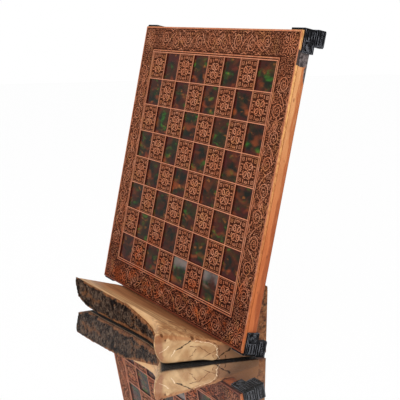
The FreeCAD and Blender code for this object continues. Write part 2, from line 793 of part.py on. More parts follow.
def build():
    """All pieces by node name, each as a list of solids."""
    nodes = {}
    board = {"engraved_top_panel": [engraved_top_panel()], "core_panel": [core_panel()]}
    for column, row in all_squares():
        if is_dark(column, row):
            name = "enamel_tile_" + "abcdefgh"[column] + str(row + 1)
            board[name] = [enamel_tile(column, row)]
    for turns, side in enumerate(("bottom", "right", "top", "left")):
        board["frame_rail_" + side] = [frame_rail(turns)]
    board["underside_panel"] = [underside_panel()]
    board["mitre_splines"] = [turned(spline_tool(0), turns) for turns in range(4)]
    for turns, corner in enumerate(("top_right", "top_left", "bottom_left", "bottom_right")):
        board["corner_foot_" + corner] = [foot_on_board(turns)]
    screws = screws_of_corner(0)
    board["foot_screws"] = [turned(s, turns) for turns in range(4) for s in screws]
    for name, solids in board.items():
        nodes[name] = [stood_up(s) for s in solids]
    base = stand_base()
    nodes["stand_base"] = [base]
    nodes["base_bark"] = [base_bark(base)]
    nodes["back_rest"] = [back_rest(base)]
    nodes["back_rest_bark"] = [back_rest_bark(base)]
    nodes["stand_screws"] = stand_screws(0)
    nodes["stand_pads"] = stand_pads()
    return nodes


corner_foot_master = corner_foot()
os.makedirs("parts", exist_ok=True)
nodes = build()
shift = centre_shift(nodes)
for node, pieces in nodes.items():
    for piece in pieces:
        piece.translate(shift)
    shape = pieces[0] if len(pieces) == 1 else Part.makeCompound(pieces)
    shape.exportStep("parts/" + node + ".step")
    solids = len(shape.Solids)
    print(node, "solids", solids, "valid", shape.isValid(), "volume", round(shape.Volume / 1000, 1))
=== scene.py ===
import math
import random

import bmesh
import bpy
import numpy as np
from mathutils import Matrix, Vector, noise


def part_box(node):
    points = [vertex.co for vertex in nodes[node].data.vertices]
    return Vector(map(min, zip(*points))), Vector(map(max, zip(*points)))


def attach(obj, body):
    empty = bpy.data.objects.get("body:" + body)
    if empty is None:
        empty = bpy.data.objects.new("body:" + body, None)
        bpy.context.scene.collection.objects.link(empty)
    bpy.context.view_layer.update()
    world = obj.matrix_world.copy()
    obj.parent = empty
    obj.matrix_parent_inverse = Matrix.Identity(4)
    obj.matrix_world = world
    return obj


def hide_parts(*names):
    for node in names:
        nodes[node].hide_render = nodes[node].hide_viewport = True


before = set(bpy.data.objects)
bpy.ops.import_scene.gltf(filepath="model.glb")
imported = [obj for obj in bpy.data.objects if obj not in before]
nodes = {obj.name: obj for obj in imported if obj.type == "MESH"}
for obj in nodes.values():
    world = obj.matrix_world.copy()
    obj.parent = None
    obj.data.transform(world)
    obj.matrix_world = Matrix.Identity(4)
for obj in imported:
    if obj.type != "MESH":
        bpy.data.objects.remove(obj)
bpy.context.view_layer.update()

scene = bpy.context.scene

# Lengths are in millimetres, except where Blender takes metres
MM = 0.001

# The board, with the sizes of the CAD
SQUARE = 50.0
BORDER = 48.0
FIELD = 8 * SQUARE
BOARD = FIELD + 2 * BORDER
HALF_BOARD = BOARD / 2
WINDOW_LINE = 2.2
FIELD_DEPTH = 0.9
FRAME_GROOVE = 1.6
FRAME_LINE = 2.0
OUTER_BAND = 3.0
BORDER_INNER = FIELD / 2 + WINDOW_LINE / 2 + FRAME_GROOVE + FRAME_LINE
BORDER_OUTER = HALF_BOARD - OUTER_BAND
BORDER_MIDDLE = (BORDER_INNER + BORDER_OUTER) / 2
LEAN = math.radians(11.25)
BOARD_LIFT = 33.5
REAR_PAD_EDGE = 78.0
NOTCH_DEPTH = 22.3

# The bottom edge of the board's face, in metres, and the board's own directions from there
HEEL = Vector((0.0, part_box("stand_pads")[1].y - REAR_PAD_EDGE * MM, BOARD_LIFT * MM))
ACROSS = Vector((1.0, 0.0, 0.0))
UP_FACE = Vector((0.0, math.sin(LEAN), math.cos(LEAN)))
INTO_BOARD = Vector((0.0, math.cos(LEAN), -math.sin(LEAN)))
BOARD_PLACE = Matrix.Translation(HEEL) @ Matrix.Rotation(math.pi / 2 - LEAN, 4, "X") @ Matrix.Scale(MM, 4)


def add_piece(mesh, name, body, replaced=None):
    """Puts a mesh in the scene as a piece of a body, instead of a CAD solid where one is named."""
    piece = bpy.data.objects.new(name, mesh)
    scene.collection.objects.link(piece)
    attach(piece, body)
    if replaced:
        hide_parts(replaced)


# Carved relief: ridges drawn on the flat board, whose face is at height 0

RIDGE_TOP = -0.06
CURL_TOP = -0.34
RIDGE_FOOT = -FIELD_DEPTH - 0.02
CREST_SHARE = 0.62
CELL = 0.7
QUARTER_TURNS = ((1, 0), (0, 1), (-1, 0), (0, -1))


class Carving:
    """Collects ridges and buttons, and remembers which places they already cover."""

    def __init__(self):
        self.points = []
        self.faces = []
        self.covered = set()

    def cover(self, x, y, reach):
        steps = int(reach / CELL) + 1
        cx, cy = int(x // CELL), int(y // CELL)
        for i in range(-steps, steps + 1):
            for j in range(-steps, steps + 1):
                if (i * i + j * j) * CELL * CELL <= reach * reach:
                    self.covered.add((cx + i, cy + j))

    def is_free(self, x, y):
        return (int(x // CELL), int(y // CELL)) not in self.covered

    def ridge(self, line, width, end_width=None, closed=False, top=RIDGE_TOP):
        """Raised line with sloping sides; its width may change from start to end."""
        end_width = width if end_width is None else end_width
        count = len(line)
        first = len(self.points)
        for i, (x, y) in enumerate(line):
            before = line[i - 1] if i > 0 or closed else line[0]
            after = line[(i + 1) % count] if i < count - 1 or closed else line[-1]
            dx, dy = after[0] - before[0], after[1] - before[1]
            length = math.hypot(dx, dy) or 1.0
            nx, ny = -dy / length, dx / length
            half = 0.5 * (width + (end_width - width) * i / max(1, count - 1))
            crest = half * CREST_SHARE
            for out, height in ((half, RIDGE_FOOT), (crest, top), (-crest, top), (-half, RIDGE_FOOT)):
                self.points.append((x + nx * out, y + ny * out, height))
            self.cover(x, y, half + 0.5)
        for i in range(count if closed else count - 1):
            a = first + 4 * i
            b = first + 4 * ((i + 1) % count)
            for k in range(3):
                self.faces.append((a + k, b + k, b + k + 1, a + k + 1))
        if not closed:
            last = first + 4 * (count - 1)
            self.faces.append((first + 3, first + 2, first + 1, first))
            self.faces.append((last, last + 1, last + 2, last + 3))

    def button(self, x, y, radius, sides=8, top=RIDGE_TOP):
        """Small raised dome."""
        first = len(self.points)
        for share, height in ((1.0, RIDGE_FOOT), (CREST_SHARE, top)):
            for i in range(sides):
                turn = 2 * math.pi * i / sides
                self.points.append((x + radius * share * math.cos(turn),
                                    y + radius * share * math.sin(turn), height))
        for i in range(sides):
            j = (i + 1) % sides
            self.faces.append((first + i, first + j, first + sides + j, first + sides + i))
        self.faces.append(tuple(first + sides + i for i in range(sides)))
        self.cover(x, y, radius + 0.5)

    def add_to_board(self, name, material):
        mesh = bpy.data.meshes.new(name)
        mesh.from_pydata([BOARD_PLACE @ Vector(p) for p in self.points], [], self.faces)
        mesh.materials.append(material)
        add_piece(mesh, name, "board")


def arc(x, y, radius, start, turn, steps):
    """Points on part of a circle; start and turn are in degrees."""
    return spiral(x, y, radius, radius, start, turn, steps)


def spiral(x, y, outer, inner, start, turn, steps):
    line = []
    for i in range(steps + 1):
        radius = outer + (inner - outer) * i / steps
        angle = math.radians(start + turn * i / steps)
        line.append((x + radius * math.cos(angle), y + radius * math.sin(angle)))
    return line


def bowed(x0, y0, x1, y1, bow, steps=7):
    """Line from one point to another that swells sideways by bow."""
    dx, dy = x1 - x0, y1 - y0
    length = math.hypot(dx, dy) or 1.0
    line = []
    for i in range(steps + 1):
        t = i / steps
        swell = bow * 4 * t * (1 - t)
        line.append((x0 + dx * t - dy / length * swell, y0 + dy * t + dx / length * swell))
    return line


# Ornament of a light square, from its middle
SQUARE_FRAME = 22.4
BUD_RADIUS = 3.6
BUD_PLACE = 16.4
BUD_STEM_END = 20.6
CORNER_BOX = (14.2, 19.2)
QUARTER_BUTTONS = ((16.7, 16.7, 1.2), (6.2, 6.2, 1.2), (0.0, 17.4, 1.3))


def quarter_motif():
    """The ridges that a light square repeats in each quarter turn: line, width, end width, closed."""
    ridges = [(arc(0.0, BUD_PLACE, BUD_RADIUS, 180, -180, 8), 1.6, 1.6, False)]
    for side in (-1, 1):
        stem = side * BUD_RADIUS
        ridges.append(([(stem, BUD_PLACE), (stem, BUD_STEM_END)], 1.6, 1.6, False))
    for side in (-1, 1):
        ridges.append(([(side * 8.4, 14.4), (side * 8.4, 20.2)], 2.1, 2.1, False))
        ridges.append((bowed(side * 1.0, 11.4, side * 8.8, 10.6, side * 1.8), 1.9, 1.2, False))
    near, far = CORNER_BOX
    ridges.append(([(near, near), (near, far), (far, far), (far, near)], 1.5, 1.5, True))
    for bow in (-3.4, 3.4):
        ridges.append((bowed(2.2, 2.2, 10.2, 10.2, bow, 8), 2.7, 2.4, False))
    ridges.append((bowed(9.4, 9.4, 12.4, 6.0, 1.4, 4), 1.9, 1.1, False))
    ridges.append((bowed(9.4, 9.4, 6.0, 12.4, -1.4, 4), 1.9, 1.1, False))
    return ridges


def square_motif():
    """Ridges of one light square and its buttons, as (x, y, radius)."""
    f = SQUARE_FRAME
    ridges = [([(-f, -f), (f, -f), (f, f), (-f, f)], 1.2, 1.2, True)]
    buttons = [(0.0, 0.0, 2.0)]
    quarter = quarter_motif()
    for c, s in QUARTER_TURNS:
        for line, width, end_width, closed in quarter:
            ridges.append(([(c * x - s * y, s * x + c * y) for x, y in line], width, end_width, closed))
        for x, y, radius in QUARTER_BUTTONS:
            buttons.append((c * x - s * y, s * x + c * y, radius))
    return ridges, buttons


def carve_light_squares(material):
    ridges, buttons = square_motif()
    carving = Carving()
    for row in range(8):
        for column in range(8):
            if (row + column) % 2 == 0:
                continue
            x0 = (column + 0.5) * SQUARE - FIELD / 2
            y0 = BORDER + (row + 0.5) * SQUARE
            for line, width, end_width, closed in ridges:
                carving.ridge([(x0 + x, y0 + y) for x, y in line], width, end_width, closed)
            for x, y, radius in buttons:
                carving.button(x0 + x, y0 + y, radius, 6)
    carving.add_to_board("light_square_carving", material)


# Ornament of the border
SCROLL_PITCH = 41.0
SCROLL_SWAY = 2.5
SCROLL_RADIUS = 12.8
SCROLL_EYE = 3.0
SCROLL_TURN = 640
LEAF_FOOT = 14.8
LEAF_TIP = 19.0
FOOT_LIMIT = 17.0
TIP_LIMIT = 18.2
BORDER_REACH = 18.8
MEDALLION_PLACES = (-143.5, -20.5, 102.5)
CURL_PITCH = 3.7
CURL_SHIFT = 0.8
CURL_MARGIN = 1.6
CURL_SEED = 41


def scroll_with_leaves(s0, way):
    """A scroll that turns one way or the other, with leaves round it where the border has room."""
    t0 = way * SCROLL_SWAY
    ridges = [(spiral(s0, t0, SCROLL_RADIUS, SCROLL_EYE, -90 * way, way * SCROLL_TURN, 38), 1.9, 1.2, False)]
    for k in range(7):
        angle = math.radians(30 + 51.4 * k)
        foot = s0 + LEAF_FOOT * math.cos(angle), t0 + LEAF_FOOT * math.sin(angle)
        tip = s0 + LEAF_TIP * math.cos(angle + way * 0.24), t0 + LEAF_TIP * math.sin(angle + way * 0.24)
        if abs(foot[1]) < FOOT_LIMIT and abs(tip[1]) < TIP_LIMIT:
            ridges.append((bowed(*foot, *tip, way * 1.2, 4), 2.2, 0.8, False))
    return ridges


def side_scrolls():
    """Scrolls and leaves along one side of the border, s along it and t out from its middle."""
    ridges = []
    buttons = []
    for i in range(-4, 5):
        s0 = i * SCROLL_PITCH
        way = 1 if i % 2 == 0 else -1
        ridges += scroll_with_leaves(s0, way)
        buttons.append((s0, way * SCROLL_SWAY, 1.8))
        if i < 4:
            mid = s0 + SCROLL_PITCH / 2
            stem = bowed(s0 + 9.0, -way * 12.0, mid + 11.0, way * 12.5, -way * 3.5, 12)
            ridges.append((stem, 1.9, 1.4, False))
            for side in (-1, 1):
                for reach, bow in ((7.5, side * 1.5), (-10.0, -side * 1.5)):
                    spray = bowed(mid - 2.0, side * 15.0, mid + reach, side * 17.8, bow, 5)
                    ridges.append((spray, 2.2, 1.1, False))
    return ridges, buttons


def medallion(s0, long_half=11.0, short_half=6.0):
    """Pointed medallion across the border: an outline with a small lozenge inside."""
    ridges = []
    for share, width in ((1.0, 2.0), (0.45, 2.4)):
        points = [(s0 - long_half * share, 0), (s0, -short_half * share),
                  (s0 + long_half * share, 0), (s0, short_half * share)]
        ridges.append((points, width, width, True))
    return ridges


def carve_border(material):
    """Scrolls along the four sides, a rosette in each corner and small curls in what is left."""
    carving = Carving()
    ridges, buttons = side_scrolls()
    for s0 in MEDALLION_PLACES:
        ridges = medallion(s0) + ridges
    for c, s in QUARTER_TURNS:

        def place(point):
            x, y = point[0], -(BORDER_MIDDLE + point[1])
            return c * x - s * y, HALF_BOARD + s * x + c * y

        for line, width, end_width, closed in ridges:
            if all(abs(p[0]) < BORDER_INNER + 2 and abs(p[1]) < BORDER_REACH for p in line):
                carving.ridge([place(p) for p in line], width, end_width, closed)
        for x, y, radius in buttons:
            carving.button(*place((x, y)), radius)
        corner_rosette(carving, *place((BORDER_MIDDLE, 0.0)))
    fill_with_curls(carving)
    carving.add_to_board("border_carving", material)


def corner_rosette(carving, x, y, petals=14):
    carving.button(x, y, 2.6, 12)
    carving.ridge(arc(x, y, 4.8, 0, 345, 23), 1.5, 1.5, True)
    for k in range(petals):
        angle = 360 / petals * k
        inner = arc(x, y, 7.0, angle, 0, 1)[0]
        outer = arc(x, y, 16.4, angle, 0, 1)[0]
        carving.ridge(bowed(*inner, *outer, 0.9, 6), 2.0, 1.4)
        carving.ridge(arc(x, y, 17.9, angle + 5, 15.5, 3), 1.5, 1.5)


def fill_with_curls(carving):
    """Small curls, bars and buttons wherever the border's floor is still bare."""
    draw = random.Random(CURL_SEED)
    cells = int(BOARD / CURL_PITCH)
    for i in range(cells):
        for j in range(cells):
            x = -HALF_BOARD + (i + 0.5) * CURL_PITCH + draw.uniform(-CURL_SHIFT, CURL_SHIFT)
            y = (j + 0.5) * CURL_PITCH + draw.uniform(-CURL_SHIFT, CURL_SHIFT)
            reach = max(abs(x), abs(y - HALF_BOARD))
            start = draw.uniform(0, 360)
            kind = draw.random()
            inside = BORDER_INNER + CURL_MARGIN < reach < BORDER_OUTER - CURL_MARGIN
            if not inside or not carving.is_free(x, y):
                continue
            if kind < 0.55:
                carving.ridge(arc(x, y, 1.4, start, 230, 5), 1.4, 1.0, top=CURL_TOP)
            elif kind < 0.85:
                turn = math.radians(start)
                dx, dy = 1.9 * math.cos(turn), 1.9 * math.sin(turn)
                carving.ridge(bowed(x - dx, y - dy, x + dx, y + dy, 0.6, 3), 1.6, 1.0, top=CURL_TOP)
            else:
                carving.button(x, y, 1.2, 6, top=CURL_TOP)


# Nodes that the materials are built from

class Bench:
    """Holds the tree of nodes that is being built."""
    tree = None


def begin(tree):
    """Empties a tree of nodes; all nodes made next go into it."""
    tree.nodes.clear()
    Bench.tree = tree


def feed(socket, value):
    if isinstance(value, bpy.types.NodeSocket):
        Bench.tree.links.new(value, socket)
    else:
        socket.default_value = value


def node(kind, values=None, **settings):
    made = Bench.tree.nodes.new(kind)
    for key, value in settings.items():
        setattr(made, key, value)
    for socket, value in (values or {}).items():
        feed(made.inputs[socket], value)
    return made


def calc(operation, a, b=0.0, clamp=False):
    return node("ShaderNodeMath", {0: a, 1: b}, operation=operation, use_clamp=clamp).outputs[0]


def plus(a, b):
    return calc("ADD", a, b)


def minus(a, b, clamp=False):
    return calc("SUBTRACT", a, b, clamp)


def times(a, b, clamp=False):
    return calc("MULTIPLY", a, b, clamp)


def larger(a, b):
    return calc("MAXIMUM", a, b)


def unsigned(a):
    return calc("ABSOLUTE", a)


def vector_calc(operation, a, b=None, output="Vector"):
    values = {0: a} if b is None else {0: a, 1: b}
    return node("ShaderNodeVectorMath", values, operation=operation).outputs[output]


def stretched(vector, along, across, deep):
    return vector_calc("MULTIPLY", vector, (along, across, deep))


def joined(x, y, z):
    return node("ShaderNodeCombineXYZ", {0: x, 1: y, 2: z}).outputs[0]


def parts_of(vector):
    return node("ShaderNodeSeparateXYZ", {0: vector}).outputs


def between(share, first, second):
    return node("ShaderNodeMix", {0: share, 2: first, 3: second}, data_type="FLOAT").outputs[0]


def tint(share, first, second):
    return node("ShaderNodeMix", {0: share, 6: first, 7: second}, data_type="RGBA").outputs[2]


def wash(shade, hue, mask, share):
    """Lays a share of a hue over the shade where the mask is 1."""
    return tint(times(mask, share), shade, hue)


def fade(value, low, high):
    """0 below low, 1 above high, and smooth between."""
    made = node("ShaderNodeMapRange", {"Value": value, "From Min": low, "From Max": high},
                interpolation_type="SMOOTHSTEP")
    return made.outputs["Result"]


def colour(red, green, blue):
    """Colour given as it looks on screen, from 0 to 255."""
    linear = []
    for part in (red, green, blue):
        c = part / 255
        linear.append(c / 12.92 if c <= 0.04045 else ((c + 0.055) / 1.055) ** 2.4)
    return (*linear, 1.0)


def cloud(vector, scale, detail=3.0, rough=0.55, warp=0.0):
    made = node("ShaderNodeTexNoise",
                {"Vector": vector, "Scale": scale, "Detail": detail, "Roughness": rough, "Distortion": warp})
    return made.outputs["Fac"]


def patches(vector, scale, low, high, detail=3.0, rough=0.55, warp=0.0):
    """A cloud parted into bare places, below low, and patches, above high."""
    return fade(cloud(vector, scale, detail, rough, warp), low, high)


def attribute(name):
    return node("ShaderNodeAttribute", attribute_name=name).outputs["Fac"]


def here_in_mm():
    here = node("ShaderNodeTexCoord").outputs["Object"]
    return stretched(here, 1 / MM, 1 / MM, 1 / MM)


def facing():
    return node("ShaderNodeNewGeometry").outputs["Normal"]


# Node groups that several materials share

NUMBER = "NodeSocketFloat"
VECTOR = "NodeSocketVector"


def new_group(name, inputs, *outputs):
    """Group with inputs given as (name, kind, value) and outputs that are all numbers."""
    tree = bpy.data.node_groups.new(name, "ShaderNodeTree")
    for title, kind, value in inputs:
        socket = tree.interface.new_socket(name=title, in_out="INPUT", socket_type=kind)
        if value is not None:
            socket.default_value = value
    for title in outputs:
        tree.interface.new_socket(name=title, in_out="OUTPUT", socket_type=NUMBER)
    begin(tree)
    return tree, node("NodeGroupInput").outputs, node("NodeGroupOutput").inputs


def make_board_place():
    """Where a point lies on the board: across, up its face and behind its face, in millimetres."""
    tree, _, out = new_group("Place on the board", [], "Across", "Up", "Behind")
    here = node("ShaderNodeTexCoord").outputs["Object"]
    from_heel = vector_calc("SUBTRACT", here, HEEL)
    for name, axis in (("Across", ACROSS), ("Up", UP_FACE), ("Behind", INTO_BOARD)):
        feed(out[name], vector_calc("DOT_PRODUCT", from_heel, axis / MM, "Value"))
    return tree


def make_wood_growth():
    """Growth lines, long fibres and clouds of wood whose grain runs along the vector's X, in millimetres."""
    inputs = [("Vector", VECTOR, None), ("Line Spacing", NUMBER, 4.0), ("Wander", NUMBER, 6.0)]
    tree, given, out = new_group("Wood growth", inputs, "Lines", "Fibre", "Clouds")
    vector = given["Vector"]
    drift = cloud(stretched(vector, 0.006, 0.025, 0.025), 1.0, 4.0, 0.5, 0.6)
    away = vector_calc("LENGTH", stretched(vector, 0.0, 1.0, 1.0), output="Value")
    push = times(times(drift, given["Wander"]), 10.0)
    turn = calc("FRACT", calc("DIVIDE", plus(away, push), given["Line Spacing"]))
    lines = minus(fade(turn, 0.0, 0.72), fade(turn, 0.78, 1.0), clamp=True)
    uneven = patches(stretched(vector, 0.01, 0.12, 0.12), 1.0, 0.25, 0.7, 2.0, 0.5)
    feed(out["Lines"], times(lines, uneven))
    feed(out["Fibre"], cloud(stretched(vector, 0.05, 1.6, 1.6), 1.0, 4.0, 0.6))
    feed(out["Clouds"], cloud(stretched(vector, 0.008, 0.05, 0.05), 1.0, 5.0, 0.6, 0.8))
    return tree


def make_spot():
    """Soft round spot about a point, with a ragged edge; positions in millimetres."""
    inputs = [("Vector", VECTOR, None), ("Middle", VECTOR, None), ("Stretch", VECTOR, (1.0, 1.0, 1.0)),
              ("Radius", NUMBER, 4.0), ("Ragged", NUMBER, 1.0)]
    tree, given, out = new_group("Ragged spot", inputs, "Mask")
    offset = vector_calc("SUBTRACT", given["Vector"], given["Middle"])
    shaped = vector_calc("MULTIPLY", offset, given["Stretch"])
    away = vector_calc("LENGTH", shaped, output="Value")
    edge = times(minus(cloud(given["Vector"], 0.25), 0.5), times(given["Ragged"], 6.0))
    depth = minus(given["Radius"], plus(away, edge))
    feed(out["Mask"], fade(depth, -0.6, 0.9))
    return tree


def make_crack():
    """Thin wandering line between two points of a flat pattern, narrower towards its end; in millimetres."""
    inputs = [("Vector", VECTOR, None), ("From", VECTOR, None), ("To", VECTOR, None), ("Width", NUMBER, 0.8)]
    tree, given, out = new_group("Crack", inputs, "Mask")
    shift = node("ShaderNodeTexNoise", {"Vector": given["Vector"], "Scale": 0.18, "Detail": 3.0})
    centred = vector_calc("SUBTRACT", shift.outputs["Color"], (0.5, 0.5, 0.5))
    here = vector_calc("ADD", given["Vector"], stretched(centred, 5.0, 5.0, 0.0))
    whole = vector_calc("SUBTRACT", given["To"], given["From"])
    start = vector_calc("SUBTRACT", here, given["From"])
    reached = vector_calc("DOT_PRODUCT", start, whole, "Value")
    length = vector_calc("DOT_PRODUCT", whole, whole, "Value")
    share = calc("DIVIDE", reached, length, clamp=True)
    nearest = node("ShaderNodeVectorMath", {0: whole, "Scale": share}, operation="SCALE").outputs[0]
    gap = vector_calc("DISTANCE", start, nearest, "Value")
    taper = times(given["Width"], minus(1.25, share))
    feed(out["Mask"], fade(minus(taper, gap), -0.25, 0.25))
    return tree


GROUPS = {
    "board_place": make_board_place(),
    "wood_growth": make_wood_growth(),
    "spot": make_spot(),
    "crack": make_crack(),
}


def placed(group, values=None):
    return node("ShaderNodeGroup", values, node_tree=GROUPS[group]).outputs


def growth_of(vector, spacing, wander):
    return placed("wood_growth", {"Vector": vector, "Line Spacing": spacing, "Wander": wander})


def spot(vector, middle, stretch, radius, ragged):
    return placed("spot", {"Vector": vector, "Middle": middle, "Stretch": stretch,
                           "Radius": radius, "Ragged": ragged})["Mask"]


# Materials

def new_material(name, rough, specular=0.5, metallic=0.0):
    material = bpy.data.materials.new(name)
    material.use_nodes = True
    begin(material.node_tree)
    shader = node("ShaderNodeBsdfPrincipled")
    shader.inputs["Roughness"].default_value = rough
    shader.inputs["Metallic"].default_value = metallic
    shader.inputs["Specular IOR Level"].default_value = specular
    node("ShaderNodeOutputMaterial", {"Surface": shader.outputs[0]})
    return material, shader


def paint(shader, shade, rough=None):
    """Joins a pattern of colour to the shader and, where there is one, a pattern of roughness."""
    feed(shader.inputs["Base Color"], shade)
    if rough is not None:
        feed(shader.inputs["Roughness"], rough)


def raise_surface(shader, height, strength, distance):
    """Small relief on the surface; the distance is in metres."""
    bump = node("ShaderNodeBump", {"Height": height, "Strength": strength, "Distance": distance})
    feed(shader.inputs["Normal"], bump.outputs[0])


def carved_panel_material():
    """Copper-brown stain, dark in the sunk floors and light on the ridges with patches of painted highlight
    and wear, painted highlight and shade on the lines between squares, painted shade on the window walls and
    along the bottom edge, and bare wood at the side and top edges, painted lighter towards the top.
    """
    material, shader = new_material("Copper brown stained carving", rough=0.6, specular=0.05)
    place = placed("board_place")
    point = here_in_mm()
    low = minus(1.0, fade(place["Up"], 0.0, 200.0))
    warm = patches(point, 0.03, 0.5, 0.66, 4.0, 0.6, 0.5)
    warm = times(warm, plus(0.12, times(low, 0.6)), clamp=True)

    ridge = tint(low, colour(184, 113, 80), colour(160, 91, 64))
    # Lighter patches on the ridges: painted highlight, with rubbed wear
    highlight_and_wear = patches(point, 0.07, 0.46, 0.64, 3.0, 0.6)
    ridge = wash(ridge, colour(214, 150, 118), highlight_and_wear, 0.5)
    tan = patches(point, 0.04, 0.52, 0.64, 3.0, 0.6)
    ridge = wash(ridge, colour(190, 128, 78), tan, 0.5)
    ridge = tint(warm, ridge, colour(200, 92, 40))
    speck = patches(point, 0.4, 0.45, 0.62, 3.0, 0.7)
    ridge = wash(ridge, colour(104, 54, 36), speck, 0.45)
    # Painted shade on the shoulders of the lines between squares and a painted highlight on their crests
    line_side_shade = minus(beyond_line(place, 0.5, 0.9), beyond_line(place, 1.12, 1.3))
    ridge = wash(ridge, colour(96, 50, 36), line_side_shade, 0.7)
    line_crest_highlight = minus(1.0, beyond_line(place, 0.25, 0.6))
    ridge = wash(ridge, colour(206, 138, 108), line_crest_highlight, 0.7)
    # Painted shade on the ridges within a few millimetres of the board's bottom edge
    ridge = wash(ridge, colour(96, 44, 30), fade(place["Up"], 4.4, 2.8), 0.8)

    floor = tint(low, colour(62, 30, 18), colour(38, 15, 11))
    floor = wash(floor, colour(120, 52, 20), warm, 0.35)
    sunk = fade(place["Behind"], 0.12, 0.78)
    shade = tint(sunk, ridge, floor)
    # Painted shade on the window walls, deeper than the field's floor
    shade = tint(fade(place["Behind"], 0.95, 1.6), shade, colour(52, 22, 20))
    # Painted shade along the board's bottom edge
    shade = tint(fade(place["Up"], 0.5, 0.1), shade, colour(84, 38, 24))

    side = fade(unsigned(place["Across"]), HALF_BOARD - 0.5, HALF_BOARD - 0.1)
    edge = larger(side, fade(place["Up"], BOARD - 0.5, BOARD - 0.1))
    # The bare edge is painted lighter towards the top, as painted light
    bare = tint(fade(place["Up"], 40.0, 440.0), colour(196, 112, 66), colour(236, 176, 112))
    streaks = patches(stretched(point, 0.1, 0.35, 0.12), 1.0, 0.48, 0.6, 3.0, 0.6)
    bare = wash(bare, colour(164, 90, 52), streaks, 0.6)
    bare = tint(inclusion(place), bare, colour(74, 64, 60))
    paint(shader, tint(edge, shade, bare), plus(0.5, times(sunk, 0.3)))
    raise_surface(shader, cloud(point, 0.9, 3.0, 0.65), 0.5, 0.0005)
    return material


def from_line(place):
    """How far a point lies from the nearest line between squares, as a share of a square."""
    shares = []
    for along in (plus(place["Across"], FIELD / 2), minus(place["Up"], BORDER)):
        turn = calc("FRACT", plus(calc("DIVIDE", along, SQUARE), 0.5))
        shares.append(unsigned(minus(turn, 0.5)))
    return calc("MINIMUM", *shares)


def beyond_line(place, low, high):
    """0 on the middle of each line between squares, 1 beyond high millimetres, and 1 outside the field."""
    away = times(from_line(place), SQUARE)
    from_middle = unsigned(minus(place["Up"], HALF_BOARD))
    reach = larger(unsigned(place["Across"]), from_middle)
    outside = calc("GREATER_THAN", reach, (FIELD + WINDOW_LINE) / 2)
    return larger(fade(away, low, high), outside)


def inclusion(place):
    """Dark bark left in the frame below the top right foot."""
    vector = joined(place["Across"], place["Up"], place["Behind"])
    body = spot(vector, (249.0, 455.0, 9.0), (0.6, 0.86, 0.5), 11.0, 1.2)
    tail = spot(vector, (249.0, 434.0, 21.5), (0.6, 0.3, 1.0), 5.0, 0.6)
    return larger(body, tail)


# How far the rails' pith lies from the board's middle, and knots by height, depth and radius
RAIL_PITH = 190.0
RAIL_KNOTS = ((392.0, 8.7, 1.5), (152.0, 14.0, 1.3), (300.0, 12.0, 1.0), (96.0, 9.0, 1.0))


def rail_material():
    """Oiled olive wood with the grain along each rail, paler towards the panel and painted lighter towards
    the top as painted light.
    """
    material, shader = new_material("Olive wood rail", rough=0.45, specular=0.22)
    place = placed("board_place")
    from_middle = minus(place["Up"], HALF_BOARD)
    upright = calc("GREATER_THAN", unsigned(place["Across"]), unsigned(from_middle))
    along = between(upright, place["Across"], place["Up"])
    sideways = between(upright, from_middle, place["Across"])
    vector = joined(along, minus(sideways, RAIL_PITH), place["Behind"])
    growth = growth_of(vector, 3.4, 1.5)
    wave = cloud(stretched(vector, 0.018, 0.05, 0.05), 1.0, 3.0, 0.5)
    wavy = plus(place["Behind"], times(wave, 16.0))
    # Painted light: the rails are painted lighter towards the top
    high = fade(place["Up"], 130.0, 440.0)
    pale = tint(high, colour(204, 112, 62), colour(222, 156, 100))
    back = tint(high, colour(164, 82, 44), colour(188, 106, 58))
    shade = tint(fade(wavy, 19.5, 23.0), pale, back)
    shade = wash(shade, back, fade(wavy, 11.0, 8.0), 0.5)
    shade = wash(shade, colour(150, 78, 38), growth["Lines"], 0.26)
    light_fibre = tint(high, colour(222, 138, 84), colour(248, 204, 150))
    shade = wash(shade, light_fibre, fade(growth["Fibre"], 0.5, 0.68), 0.5)
    knots = 0.0
    for up, behind, radius in RAIL_KNOTS:
        middle = (up, HALF_BOARD - RAIL_PITH, behind)
        knots = larger(knots, spot(vector, middle, (0.5, 0.2, 1.0), radius, 0.3))
    shade = wash(shade, colour(122, 62, 32), knots, 0.6)
    gnarl = patches(vector, 0.16, 0.35, 0.65, 4.0, 0.7, 0.5)
    bark = tint(gnarl, colour(50, 42, 43), colour(126, 114, 112))
    paint(shader, tint(inclusion(place), shade, bark))
    raise_surface(shader, growth["Fibre"], 0.25, 0.0003)
    return material


def plain_wood_material():
    """Sealed wood of the core, the underside panel and the splines."""
    material, shader = new_material("Sealed underside wood", rough=0.6, specular=0.3)
    place = placed("board_place")
    vector = joined(place["Up"], times(place["Across"], 0.35), place["Behind"])
    growth = growth_of(vector, 5.0, 3.0)
    shade = tint(growth["Clouds"], colour(150, 104, 68), colour(190, 142, 98))
    shade = wash(shade, colour(128, 82, 50), growth["Lines"], 0.4)
    shade = wash(shade, colour(214, 170, 124), growth["Fibre"], 0.25)
    paint(shader, shade)
    raise_surface(shader, growth["Fibre"], 0.3, 0.0003)
    return material


# Columns of the two tiles in the bottom row that have a painted reflection, a milky grey-white haze, counted
# from the left
REFLECTION_COLUMNS = (4, 6)


